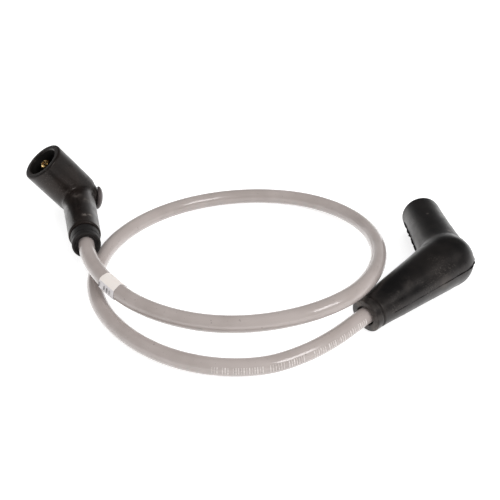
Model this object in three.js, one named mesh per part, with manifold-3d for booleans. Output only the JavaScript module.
// A spark plug lead: a silicone high-tension cable with a right-angle boot for the coil
// and a slanted rubber boot for the spark plug, lying in one loop on a table.
// Millimetres, +Z up. The origin is on the table, midway between the two boots.

import * as THREE from 'three';
import { mergeVertices } from 'three/addons/utils/BufferGeometryUtils.js';
import Module from 'manifold-3d';

const wasm = await Module();
wasm.setup();

// Clearances and roundness
const fitGap = 0.3;
const sheetThickness = 0.7;
const largeSides = 36;
const smallSides = 24;

// The lead, from the core outwards
const coreDiameter = 2.2;
const insulationDiameter = 4.8;
const braidThickness = 0.25;
const leadDiameter = 8;
const leadSides = 12;
const leadSteps = 66;
const braidStrip = 0.8;
const insulationStrip = 2;
const coreStrip = 4.5;

// Crimp barrel that grips the lead's jacket in both boots
const crimpLength = 10.8;
const crimpCavityDiameter = 11.6;

// Coil boot: socket tube
const socketDiameter = 24;
const socketBore = 17;
const socketReach = 28.7;
const socketLean = 7;
const socketLeanPivot = -5;
const socketFloor = 8.4;
const socketHeel = 7;
const socketHeelSteps = 4;
const socketChamfer = 0.7;
const boreChamfer = 0.5;

// Coil boot: elbow and lead leg
const coilElbowDiameter = 18.8;
const coilLegDiameter = 18;
const coilLegEndDiameter = 16.6;
const coilLegReach = 51.7;
const coilLegEndRound = 0.5;
const coilCavityFront = 5;
const coilJacketStart = 10;

// Coil boot: assembly port in a boss on the elbow, and its plug
const portTurn = 137;
const portSetback = 2.5;
const bossDiameter = 13.4;
const bossRootDiameter = 15;
const bossReach = 10.2;
const portDiameter = 9.2;
const portPlugStem = 3.3;
const portPlugRim = 1.3;
const portPlugRise = 3.5;

// Coil boot: collar and rubber seal at the end of the lead leg
const collarSpigotDiameter = 12.4;
const collarSpigotLength = 6.3;
const collarDiameter = 15.4;
const collarEndDiameter = 14.9;
const collarLength = 6.2;
const sealDiameter = 14.6;
const sealSpigotDiameter = 11.2;
const sealSpigotLength = 2.9;
const sealLength = 3.7;
const sealDish = 1.3;

// Coil contact and its riveted terminal
const contactDiameter = 4.8;
const contactTipDiameter = 5.2;
const contactTipLength = 2.6;
const contactFlangeDiameter = 6.4;
const contactFlangeThickness = 1.2;
const contactRecess = 1.3;
const contactMouth = 2.4;
const contactMouthDepth = 4.2;
const contactSlit = 0.5;
const contactSlitLength = 7.5;
const contactFlangeHeight = 2.8;
const rivetDiameter = 2;
const rivetHeadDiameter = 4.4;
const rivetHeadHeight = 0.9;
const rivetShankLength = 4.2;
const terminalPlateWidth = 6;
const terminalPlateFront = 3.2;
const terminalPlateBack = 6.5;
const strapWidth = 4;

// Plug boot: elbow, lead leg and socket leg, of soft rubber
const plugBend = 55;
const plugElbowDiameter = 26.2;
const plugLegReach = 57.5;
const plugLegEndDiameter = 16.6;
const plugLegSwell = [[0.66, 0.31], [0.35, 0.65], [0.12, 0.91]];
const plugSocketSwell = [[0.2, 0.5], [0.45, 0.24]];
const plugLipLength = 3.6;
const plugLipRound = 0.6;
const plugLipGroove = 0.7;
const plugLipGrooveWidth = 0.8;
const plugLipGrooveSlope = 0.4;
const plugSocketReach = 49.8;
const plugSocketEndDiameter = 20.6;
const plugSocketEndRound = 1.6;
const plugSocketBore = 12.6;
const plugSocketBoreDepth = 26;
const plugSocketMouthFlare = 0.5;
const sealRibHeight = 0.6;
const sealRibWidth = 1.6;
const sealRibDepths = [11, 17];
const partingRidgeHeight = 0.7;
const partingRidgeWidth = 0.6;
const partingRidgeLipSetback = 2;
const plugCavityFront = 3;
const cutPast = 5;
const plugJacketStart = 10.5;

// Plug terminal: slotted snap cup on a bent strap, with a wire ring round it
const cupDiameter = 8;
const cupBase = 9;
const cupLength = 12.5;
const cupFlare = 0.6;
const cupFlareLength = 1.4;
const cupGrooveDepth = 0.2;
const cupGrooveWidth = 1.2;
const cupGrooveSetback = 4;
const cupSlotWidth = 0.8;
const cupSlotLength = 9.5;
const snapWireDiameter = 0.8;
const snapRingOpening = 3;
const strapKnuckle = 3.2;
const strapKnuckleShare = 0.35;
const strapRise = 2.5;

// White marker sleeve wrapped round the lead near the coil boot
const sleeveThickness = 0.35;
const sleeveLength = 13.5;
const sleeveFromCoilBoot = 31.5;

// Where the boots lie: elbow centres, and the way the coil socket and the two lead legs point
const coilElbow = new THREE.Vector3(-91.5, 51.3, 9.4);
const coilSocketWay = new THREE.Vector3(-0.563, -0.077, 0.823);
const coilLegWay = new THREE.Vector3(0.255, -0.963, 0.084);
const plugElbow = new THREE.Vector3(103.9, -20.7, 13.4);
const plugLegWay = new THREE.Vector3(-0.764, -0.639, -0.089);
const plugUpWay = new THREE.Vector3(-0.155, 0.049, 0.987);

// The lead's route from the coil boot to the plug boot, laid over itself once at the left
const leadRoute = [
  [-75.6, -8.9, 14.6],
  [-73.7, -15.9, 14.9],
  [-69.1, -26.1, 14.7],
  [-59.7, -40.6, 14.3],
  [-47.3, -53.3, 13.9],
  [-32.3, -62.8, 13.8],
  [-14.7, -69.1, 14.1],
  [3.5, -71.5, 15.1],
  [21.6, -70.7, 17.1],
  [39.1, -66, 19.3],
  [54, -56.3, 20.5],
  [64, -41, 19.2],
  [69.7, -23.5, 16.4],
  [71.7, -5.5, 13.2],
  [70, 12.5, 10],
  [64, 29.5, 7.2],
  [53.3, 44, 5.2],
  [38, 54, 4.3],
  [20, 58.5, 4],
  [1.5, 58.3, 4],
  [-16.3, 54.3, 4],
  [-33, 46.7, 4],
  [-47.5, 35.7, 4],
  [-59.3, 21.5, 4],
  [-67, 5, 4],
  [-70.2, -13, 4],
  [-68.7, -31.3, 4],
  [-62, -48.5, 4],
  [-51, -63.5, 4],
  [-37, -75.5, 4],
  [-20.5, -83.7, 4],
  [-2.5, -87.2, 4],
  [15.5, -86, 4],
  [33, -79.7, 4.1],
  [45.6, -70.3, 5.7],
  [54, -62.2, 7.6],
  [59.7, -57.6, 8.3],
];

const black = { boot: 0x1b1a1a, rubber: 0x201f1f, plug: 0x191919 };
const materials = {
  hardBoot: new THREE.MeshStandardMaterial({ color: black.boot, roughness: 0.55, metalness: 0 }),
  softBoot: new THREE.MeshStandardMaterial({ color: black.rubber, roughness: 0.75, metalness: 0 }),
  portPlug: new THREE.MeshStandardMaterial({ color: black.plug, roughness: 0.45, metalness: 0 }),
  brass: new THREE.MeshStandardMaterial({ color: 0xc79a4a, roughness: 0.3, metalness: 1 }),
  steel: new THREE.MeshStandardMaterial({ color: 0xb9bcc0, roughness: 0.35, metalness: 1 }),
  jacket: new THREE.MeshStandardMaterial({ color: 0xa89f99, roughness: 0.5, metalness: 0 }),
  insulation: new THREE.MeshStandardMaterial({ color: 0xd8d2c8, roughness: 0.6, metalness: 0 }),
  braid: new THREE.MeshStandardMaterial({ color: 0xe4dfcf, roughness: 0.9, metalness: 0 }),
  core: new THREE.MeshStandardMaterial({ color: 0x2a2a2c, roughness: 0.8, metalness: 0 }),
  sleeve: new THREE.MeshStandardMaterial({ color: 0xe9e9e6, roughness: 0.6, metalness: 0 }),
};

const radius = (diameter) => diameter / 2;
const turn = (degrees) => THREE.MathUtils.degToRad(degrees);

// A closed solid that can be joined and cut, from a geometry
function solidOf(geometry) {
  const plain = geometry.clone();
  plain.deleteAttribute('normal');
  plain.deleteAttribute('uv');
  const merged = mergeVertices(plain, 1e-4);
  const index = merged.index.array;
  const triangles = [];
  for (let i = 0; i < index.length; i += 3) {
    const [a, b, c] = [index[i], index[i + 1], index[i + 2]];
    if (a !== b && b !== c && c !== a) triangles.push(a, b, c);
  }
  return new wasm.Manifold(new wasm.Mesh({
    numProp: 3,
    vertProperties: new Float32Array(merged.attributes.position.array),
    triVerts: new Uint32Array(triangles),
  }));
}

// The geometry of a finished solid
function geometryOf(solid) {
  const mesh = solid.getMesh();
  const geometry = new THREE.BufferGeometry();
  geometry.setAttribute('position', new THREE.BufferAttribute(mesh.vertProperties, 3));
  geometry.setIndex(new THREE.BufferAttribute(mesh.triVerts, 1));
  geometry.computeVertexNormals();
  return geometry;
}

function joined(first, ...others) {
  return others.reduce((sum, next) => sum.add(solidOf(next)), solidOf(first));
}

function cut(solid, ...tools) {
  return tools.reduce((rest, tool) => rest.subtract(solidOf(tool)), solid);
}

function piece(name, solid, material) {
  const mesh = new THREE.Mesh(geometryOf(solid), material);
  mesh.name = name;
  return mesh;
}

// A turned form about the Y axis from [radius, height] points that run upwards on its outside
function turned(profile, sides = largeSides) {
  return new THREE.LatheGeometry(profile.map(([r, y]) => new THREE.Vector2(r, y)), sides);
}

// A plain rod about the Y axis
function rod(diameter, from, to, sides = largeSides) {
  const r = radius(diameter);
  return turned([[0, from], [r, from], [r, to], [0, to]], sides);
}

function alongZ(geometry) {
  return geometry.rotateX(turn(90));
}

// A strip of sheet metal, bent along points in the XY plane and as wide in Z
function strip(points, thickness, width) {
  const half = thickness / 2;
  const path = points.map(([x, y]) => new THREE.Vector2(x, y));
  const side = (sign) => path.map((point, i) => {
    const before = path[Math.max(i - 1, 0)];
    const after = path[Math.min(i + 1, path.length - 1)];
    const way = after.clone().sub(before).normalize();
    return new THREE.Vector2(point.x - sign * half * way.y, point.y + sign * half * way.x);
  });
  const outline = new THREE.Shape([...side(1), ...side(-1).reverse()]);
  const geometry = new THREE.ExtrudeGeometry(outline, { depth: width, bevelEnabled: false });
  return geometry.translate(0, 0, -width / 2);
}

// An open crimp barrel about the Y axis, with the middle of its back at an angle from X towards Z
function crimpBarrel(from, length, backAngle) {
  const inner = radius(leadDiameter) + fitGap;
  const outer = inner + sheetThickness;
  const reach = turn(140);
  const middle = turn(backAngle);
  const outline = new THREE.Shape();
  outline.absarc(0, 0, outer, middle - reach, middle + reach, false);
  outline.absarc(0, 0, inner, middle + reach, middle - reach, true);
  const barrel = new THREE.ExtrudeGeometry(outline, { depth: length, bevelEnabled: false, curveSegments: 14 });
  return barrel.rotateX(turn(90)).translate(0, from, 0);
}

// A tube about the Y axis
function pipe(innerDiameter, outerDiameter, from, to, sides = smallSides) {
  const [inner, outer] = [radius(innerDiameter), radius(outerDiameter)];
  return turned([[inner, from], [outer, from], [outer, to], [inner, to], [inner, from]], sides);
}

// The layers of the lead that run into a boot along -Y, from its mouth to where each is stripped back
function leadEnd(where, mouth, jacketStart, core) {
  const insulationBore = coreDiameter + 2 * fitGap;
  const braidBore = insulationDiameter + 2 * fitGap;
  const braidDiameter = braidBore + 2 * braidThickness;
  const jacketBore = braidDiameter + 2 * fitGap;
  const jacket = pipe(jacketBore, leadDiameter, -mouth, -jacketStart);
  const braid = pipe(braidBore, braidDiameter, -mouth, -jacketStart + braidStrip);
  const insulation = pipe(insulationBore, insulationDiameter, -mouth, -jacketStart + insulationStrip);
  return [
    piece(`lead_jacket_in_${where}_boot`, joined(jacket), materials.jacket),
    piece(`lead_braid_in_${where}_boot`, joined(braid), materials.braid),
    piece(`lead_insulation_in_${where}_boot`, joined(insulation), materials.insulation),
    piece(`lead_core_in_${where}_boot`, joined(core), materials.core),
  ];
}

// Heights above the coil boot's lead axis that its metal pieces share
const plateTop = contactFlangeHeight - fitGap;
const plateBottom = plateTop - sheetThickness;
const portDirection = new THREE.Vector3(Math.sin(turn(portTurn)), 0, Math.cos(turn(portTurn)));

// The socket, its contact and the terminal's plate lean together towards the lead leg
function leaned(geometry) {
  const pivotHeight = (plateTop + plateBottom) / 2;
  return geometry
    .translate(0, -socketLeanPivot, -pivotHeight)
    .rotateX(turn(socketLean))
    .translate(0, socketLeanPivot, pivotHeight);
}

// The height above the lead's axis of a leaned level, at a place along the axis
function leanedHeight(level, along) {
  const pivotHeight = (plateTop + plateBottom) / 2;
  const above = (level - pivotHeight) / Math.cos(turn(socketLean));
  return pivotHeight + above + (along - socketLeanPivot) * Math.tan(turn(socketLean));
}

// Turns a form about the Y axis onto the assembly port's axis
function alongPort(geometry) {
  const swing = new THREE.Quaternion().setFromUnitVectors(new THREE.Vector3(0, 1, 0), portDirection);
  return geometry.applyQuaternion(swing).translate(0, -portSetback, 0);
}

function coilBoot() {
  const tube = radius(socketDiameter);
  const socketOutline = [];
  for (let i = 0; i < socketHeelSteps; i += 1) {
    const angle = turn((90 * i) / socketHeelSteps);
    socketOutline.push([tube * Math.sin(angle), -socketHeel * Math.cos(angle)]);
  }
  socketOutline.push(
    [tube, 0],
    [tube, socketReach - socketChamfer],
    [tube - socketChamfer, socketReach],
    [0, socketReach],
  );
  const socket = leaned(alongZ(turned(socketOutline)));
  const legEnd = radius(coilLegEndDiameter);
  const leg = turned([
    [0, -coilLegReach],
    [legEnd - coilLegEndRound, -coilLegReach],
    [legEnd, -coilLegReach + coilLegEndRound],
    [radius(coilLegDiameter), -radius(coilLegDiameter)],
    [radius(coilLegDiameter), 0],
    [0, 0],
  ]);
  const elbow = new THREE.SphereGeometry(radius(coilElbowDiameter), largeSides, 18);
  const boss = alongPort(turned([
    [0, 0],
    [radius(bossRootDiameter), 0],
    [radius(bossRootDiameter), bossReach * 0.6],
    [radius(bossDiameter), bossReach - coilLegEndRound],
    [radius(bossDiameter) - coilLegEndRound, bossReach],
    [0, bossReach],
  ]));
  const bore = radius(socketBore);
  const boreCut = leaned(alongZ(turned([
    [0, socketFloor],
    [bore, socketFloor],
    [bore, socketReach - boreChamfer],
    [bore + 2 * boreChamfer, socketReach + boreChamfer],
    [0, socketReach + boreChamfer],
  ])));
  const contactHole = leaned(alongZ(rod(contactDiameter + 2 * fitGap, 0, socketFloor + 1, smallSides)));
  const leadBore = rod(leadDiameter + 2 * fitGap, -coilLegReach - 1, 0, smallSides);
  const cavity = rod(crimpCavityDiameter, -coilJacketStart - crimpLength - 2, coilCavityFront, smallSides);
  const spigotBore = rod(
    collarSpigotDiameter + 2 * fitGap,
    -coilLegReach - 1,
    -coilLegReach + collarSpigotLength + fitGap - sheetThickness / 2,
  );
  const port = alongPort(rod(portDiameter, 0, bossReach + 1, smallSides));
  return piece(
    'coil_boot',
    cut(joined(socket, leg, elbow, boss), boreCut, contactHole, leadBore, cavity, spigotBore, port),
    materials.hardBoot,
  );
}

function portPlug() {
  const seat = bossReach + fitGap;
  const rim = radius(bossDiameter) - 0.1;
  const stem = radius(portDiameter) - fitGap;
  const top = seat + portPlugRise;
  const profile = [[0, seat - portPlugStem], [stem, seat - portPlugStem], [stem, seat], [rim - 0.3, seat]];
  const domeSteps = 5;
  for (let i = 0; i < domeSteps; i += 1) {
    const angle = turn((90 * i) / domeSteps);
    const height = portPlugRim / 2 + (portPlugRise - portPlugRim / 2) * Math.sin(angle);
    profile.push([rim * Math.cos(angle), seat + height]);
  }
  profile.push([0, top]);
  return piece('coil_boot_port_plug', joined(alongPort(turned(profile))), materials.portPlug);
}

const collarStart = coilLegReach + fitGap;
const collarEnd = collarStart + collarLength;
const sealStart = collarEnd + fitGap;
const coilMouth = sealStart + sealLength;
const sealSeatDepth = sealSpigotLength + fitGap;

function coilCollar() {
  const bore = radius(leadDiameter) + fitGap;
  const seat = radius(sealSpigotDiameter) + fitGap;
  const spigot = radius(collarSpigotDiameter);
  return piece('coil_boot_collar', joined(turned([
    [bore, -collarEnd + sealSeatDepth],
    [seat, -collarEnd + sealSeatDepth],
    [seat, -collarEnd],
    [radius(collarEndDiameter) - 0.4, -collarEnd],
    [radius(collarEndDiameter), -collarEnd + 0.4],
    [radius(collarDiameter), -collarStart],
    [spigot, -collarStart],
    [spigot, -collarStart + collarSpigotLength],
    [bore, -collarStart + collarSpigotLength],
    [bore, -collarEnd + sealSeatDepth],
  ])), materials.hardBoot);
}

function coilSeal() {
  const bore = radius(leadDiameter) + fitGap;
  const rim = radius(sealDiameter);
  const spigot = radius(sealSpigotDiameter);
  return piece('coil_boot_seal', joined(turned([
    [bore, -coilMouth + sealDish],
    [rim - 1.1, -coilMouth],
    [rim - 0.3, -coilMouth + 0.2],
    [rim, -coilMouth + 0.7],
    [rim, -sealStart - 0.4],
    [rim - 0.4, -sealStart],
    [spigot, -sealStart],
    [spigot, -sealStart + sealSpigotLength],
    [bore, -sealStart + sealSpigotLength],
    [bore, -coilMouth + sealDish],
  ])), materials.softBoot);
}

function coilContact() {
  const stem = radius(contactDiameter);
  const tip = radius(contactTipDiameter);
  const flange = radius(contactFlangeDiameter);
  const mouth = radius(contactMouth);
  const hole = radius(rivetDiameter) + fitGap;
  const base = contactFlangeHeight;
  const top = socketReach - contactRecess;
  const holeTop = plateBottom - fitGap + rivetShankLength + fitGap;
  const body = joined(leaned(alongZ(turned([
    [0, holeTop],
    [hole, holeTop],
    [hole, base],
    [flange, base],
    [flange, base + contactFlangeThickness],
    [stem, base + contactFlangeThickness],
    [stem, top - contactTipLength - 0.4],
    [tip, top - contactTipLength],
    [tip, top - 0.9],
    [tip - 0.6, top],
    [mouth, top],
    [mouth, top - contactMouthDepth],
    [0, top - contactMouthDepth],
  ], smallSides))));
  const slit = new THREE.BoxGeometry(contactSlit, contactTipDiameter * 2, contactSlitLength);
  slit.translate(0, 0, top - contactSlitLength / 2 + 0.01);
  const crossSlit = slit.clone().rotateZ(turn(90));
  return piece('coil_contact', cut(body, leaned(slit), leaned(crossSlit)), materials.brass);
}

function coilTerminal() {
  const barrelBack = radius(leadDiameter) + fitGap + sheetThickness / 2;
  const plateMiddle = (plateTop + plateBottom) / 2;
  const strap = strip([
    [-terminalPlateBack + 1, leanedHeight(plateMiddle, -terminalPlateBack + 1)],
    [-terminalPlateBack, leanedHeight(plateMiddle, -terminalPlateBack)],
    [-coilJacketStart + 0.6, barrelBack],
    [-coilJacketStart - 1, barrelBack],
  ], sheetThickness, strapWidth);
  strap.rotateX(turn(90)).rotateZ(turn(90));
  const plateLength = terminalPlateFront + terminalPlateBack;
  const plate = new THREE.BoxGeometry(terminalPlateWidth, plateLength, sheetThickness);
  plate.translate(0, terminalPlateFront - plateLength / 2, plateMiddle);
  const barrel = crimpBarrel(-coilJacketStart, crimpLength, 90);
  const rivetHole = leaned(alongZ(rod(rivetDiameter + 2 * fitGap, 0, plateTop + 1, smallSides)));
  return piece('coil_terminal', cut(joined(leaned(plate), strap, barrel), rivetHole), materials.brass);
}

function coilRivet() {
  const shank = radius(rivetDiameter);
  const head = radius(rivetHeadDiameter);
  const seat = plateBottom - fitGap;
  return piece('coil_contact_rivet', joined(leaned(alongZ(turned([
    [0, seat - rivetHeadHeight],
    [head * 0.7, seat - rivetHeadHeight],
    [head, seat - rivetHeadHeight * 0.4],
    [head, seat],
    [shank, seat],
    [shank, seat + rivetShankLength],
    [0, seat + rivetShankLength],
  ], smallSides)))), materials.brass);
}

// The core in the coil boot: its bared tip turns up to touch the terminal's plate
function coilCore() {
  const bend = -coilJacketStart + insulationStrip + 1;
  const tip = bend + coreStrip / 2;
  const lift = leanedHeight(plateBottom, tip) - fitGap - radius(coreDiameter);
  const way = new THREE.CatmullRomCurve3([
    new THREE.Vector3(0, -coilMouth, 0),
    new THREE.Vector3(0, -coilMouth / 2, 0),
    new THREE.Vector3(0, bend - 1, 0),
    new THREE.Vector3(0, bend, 0),
    new THREE.Vector3(0, tip, lift),
    new THREE.Vector3(0, tip + 1, lift),
  ]);
  const section = new THREE.Shape();
  section.absarc(0, 0, radius(coreDiameter), 0, turn(360), false);
  return new THREE.ExtrudeGeometry(section, {
    extrudePath: way,
    steps: 24,
    curveSegments: 6,
    bevelEnabled: false,
  });
}

function plugCore() {
  return rod(coreDiameter, -plugLegReach, -plugJacketStart + coreStrip, smallSides);
}

// The plug boot's outside; grow makes every radius larger for the parting ridge
function plugBootOutside(grow) {
  const end = radius(plugLegEndDiameter) + grow;
  const elbow = radius(plugElbowDiameter) + grow;
  const lipStart = -plugLegReach + plugLipLength;
  const taper = elbow - end;
  const leg = turned([
    [0, -plugLegReach],
    [end - plugLipRound, -plugLegReach],
    [end, -plugLegReach + plugLipRound],
    [end, lipStart - plugLipGrooveSlope],
    [end - plugLipGroove, lipStart],
    [end - plugLipGroove, lipStart + plugLipGrooveWidth],
    [end, lipStart + plugLipGrooveWidth + plugLipGrooveSlope],
    ...plugLegSwell.map(([along, swell]) => [end + taper * swell, -plugLegReach * along]),
    [elbow, 0],
    [0, 0],
  ]);
  const socketEnd = radius(plugSocketEndDiameter) + grow;
  const socketTaper = elbow - socketEnd;
  const profile = [
    [0, 0],
    [elbow, 0],
    ...plugSocketSwell.map(([along, swell]) => [socketEnd + socketTaper * swell, plugSocketReach * along]),
    [socketEnd, plugSocketReach - plugSocketEndRound],
  ];
  for (const share of [30, 60, 90]) {
    profile.push([
      socketEnd - plugSocketEndRound * (1 - Math.cos(turn(share))),
      plugSocketReach - plugSocketEndRound * (1 - Math.sin(turn(share))),
    ]);
  }
  profile.push([0, plugSocketReach]);
  const socket = turned(profile).rotateZ(turn(plugBend));
  return joined(leg, socket, new THREE.SphereGeometry(elbow, largeSides, 26));
}

function plugBoot() {
  const size = 4 * plugLegReach;
  const partingPlane = new THREE.BoxGeometry(size, size, partingRidgeWidth);
  const ridge = plugBootOutside(partingRidgeHeight).intersect(solidOf(partingPlane));
  const ridgeEnd = plugSocketReach - plugSocketEndRound;
  const endTrim = rod(plugElbowDiameter * 2, ridgeEnd, plugSocketReach + cutPast);
  endTrim.rotateZ(turn(plugBend));
  const ridgeStart = -plugLegReach + plugLipLength + partingRidgeLipSetback;
  const lipTrim = rod(plugElbowDiameter * 2, -plugLegReach - cutPast, ridgeStart);
  const outside = plugBootOutside(0).add(cut(ridge, endTrim, lipTrim));
  const bore = radius(plugSocketBore);
  const boreStart = plugSocketReach - plugSocketBoreDepth;
  const socketProfile = [[0, boreStart], [bore, boreStart]];
  for (const depth of [...sealRibDepths].reverse()) {
    const middle = plugSocketReach - depth;
    socketProfile.push([bore, middle - sealRibWidth]);
    socketProfile.push([bore - sealRibHeight, middle - sealRibWidth * 0.3]);
    socketProfile.push([bore - sealRibHeight, middle + sealRibWidth * 0.3]);
    socketProfile.push([bore, middle + sealRibWidth]);
  }
  socketProfile.push([bore, plugSocketReach - 2 * plugSocketMouthFlare]);
  socketProfile.push([bore + 2 * plugSocketMouthFlare, plugSocketReach + 1]);
  socketProfile.push([0, plugSocketReach + 1]);
  const socketCut = turned(socketProfile).rotateZ(turn(plugBend));
  const leadBore = rod(leadDiameter + 2 * fitGap, -plugLegReach - 1, 0, smallSides);
  const crimpCavity = rod(crimpCavityDiameter, -plugJacketStart - crimpLength - 2, plugCavityFront, smallSides);
  const cupCavity = rod(crimpCavityDiameter, 0, boreStart + 1, smallSides).rotateZ(turn(plugBend));
  const knuckle = new THREE.SphereGeometry(radius(crimpCavityDiameter), smallSides, 12);
  return piece(
    'plug_boot',
    cut(outside, socketCut, leadBore, crimpCavity, cupCavity, knuckle),
    materials.softBoot,
  );
}

function plugTerminal() {
  const outer = radius(cupDiameter);
  const inner = outer - sheetThickness;
  const top = cupBase + cupLength;
  const groove = top - cupGrooveSetback;
  const cup = joined(turned([
    [0, cupBase],
    [outer, cupBase],
    [outer, groove - cupGrooveWidth / 2 - 0.3],
    [outer - cupGrooveDepth, groove - cupGrooveWidth / 2],
    [outer - cupGrooveDepth, groove + cupGrooveWidth / 2],
    [outer, groove + cupGrooveWidth / 2 + 0.3],
    [outer, top - cupFlareLength],
    [outer + cupFlare, top],
    [inner + cupFlare, top],
    [inner, top - cupFlareLength],
    [inner, groove + cupGrooveWidth / 2 + 0.3],
    [inner - cupGrooveDepth, groove + cupGrooveWidth / 2],
    [inner - cupGrooveDepth, groove - cupGrooveWidth / 2],
    [inner, groove - cupGrooveWidth / 2 - 0.3],
    [inner, cupBase + sheetThickness],
    [0, cupBase + sheetThickness],
  ], smallSides));
  const slot = new THREE.BoxGeometry(cupSlotWidth, cupSlotLength, cupDiameter * 2);
  slot.translate(0, top - cupSlotLength / 2 + 0.01, 0);
  const slotted = cut(cup, slot, slot.clone().rotateY(turn(90)));
  const placedCup = geometryOf(slotted).rotateZ(turn(plugBend));
  const reach = (distance) => [-Math.sin(turn(plugBend)) * distance, Math.cos(turn(plugBend)) * distance];
  const barrelBack = radius(leadDiameter) + fitGap + sheetThickness / 2;
  const strap = strip([
    reach(cupBase + sheetThickness / 2),
    reach(strapRise),
    [barrelBack * strapKnuckleShare, -strapKnuckle],
    [barrelBack, -plugJacketStart + 1.2],
    [barrelBack, -plugJacketStart - 1],
  ], sheetThickness, strapWidth);
  const barrel = crimpBarrel(-plugJacketStart, crimpLength, 0);
  return piece('plug_terminal', joined(placedCup, strap, barrel), materials.steel);
}

function plugSnapRing() {
  const wire = radius(snapWireDiameter);
  const seat = radius(cupDiameter) - cupGrooveDepth + fitGap;
  const ring = new THREE.TorusGeometry(seat + wire, wire, 8, 28);
  const opening = new THREE.BoxGeometry(snapRingOpening, cupDiameter, 4 * wire);
  opening.translate(0, cupDiameter / 2, 0);
  const open = geometryOf(cut(joined(ring), opening));
  open.rotateX(turn(90)).translate(0, cupBase + cupLength - cupGrooveSetback, 0).rotateZ(turn(plugBend));
  return piece('plug_terminal_snap_ring', joined(open), materials.steel);
}

const route = new THREE.CatmullRomCurve3(leadRoute.map((point) => new THREE.Vector3(...point)));

function freeLead() {
  const section = new THREE.Shape();
  const r = radius(leadDiameter);
  for (let i = 0; i < leadSides; i += 1) {
    const angle = turn((360 * i) / leadSides);
    const place = [r * Math.cos(angle), r * Math.sin(angle)];
    if (i === 0) section.moveTo(...place);
    else section.lineTo(...place);
  }
  const tube = new THREE.ExtrudeGeometry(section, {
    extrudePath: route,
    steps: leadSteps,
    bevelEnabled: false,
  });
  return piece('lead', joined(tube), materials.jacket);
}

function markerSleeve() {
  const inner = radius(leadDiameter) + fitGap;
  const outer = inner + sleeveThickness;
  const section = new THREE.Shape();
  section.absarc(0, 0, outer, 0, turn(360), false);
  const hole = new THREE.Path();
  hole.absarc(0, 0, inner, 0, turn(360), true);
  section.holes.push(hole);
  const whole = route.getLength();
  const stops = 7;
  const points = [];
  for (let i = 0; i < stops; i += 1) {
    const distance = sleeveFromCoilBoot + (sleeveLength * i) / (stops - 1);
    points.push(route.getPointAt(distance / whole));
  }
  const tube = new THREE.ExtrudeGeometry(section, {
    extrudePath: new THREE.CatmullRomCurve3(points),
    steps: 6,
    curveSegments: 12,
    bevelEnabled: false,
  });
  return piece('marker_sleeve', joined(tube), materials.sleeve);
}

// Stands a boot in the frame: its +Y runs against the lead leg's way, its +Z along the other way
function placed(boot, elbow, legWay, upWay) {
  const y = legWay.clone().normalize().negate();
  const x = y.clone().cross(upWay).normalize();
  const z = x.clone().cross(y);
  boot.position.copy(elbow);
  boot.quaternion.setFromRotationMatrix(new THREE.Matrix4().makeBasis(x, y, z));
  return boot;
}

const coilEnd = new THREE.Group();
coilEnd.add(coilBoot(), portPlug(), coilCollar(), coilSeal(), coilContact(), coilTerminal(), coilRivet());
coilEnd.add(...leadEnd('coil', coilMouth, coilJacketStart, coilCore()));

const plugEnd = new THREE.Group();
plugEnd.add(plugBoot(), plugTerminal(), plugSnapRing());
plugEnd.add(...leadEnd('plug', plugLegReach, plugJacketStart, plugCore()));

const sparkPlugLead = new THREE.Group();
sparkPlugLead.add(placed(coilEnd, coilElbow, coilLegWay, coilSocketWay));
sparkPlugLead.add(placed(plugEnd, plugElbow, plugLegWay, plugUpWay));
sparkPlugLead.add(freeLead(), markerSleeve());

export default sparkPlugLead;
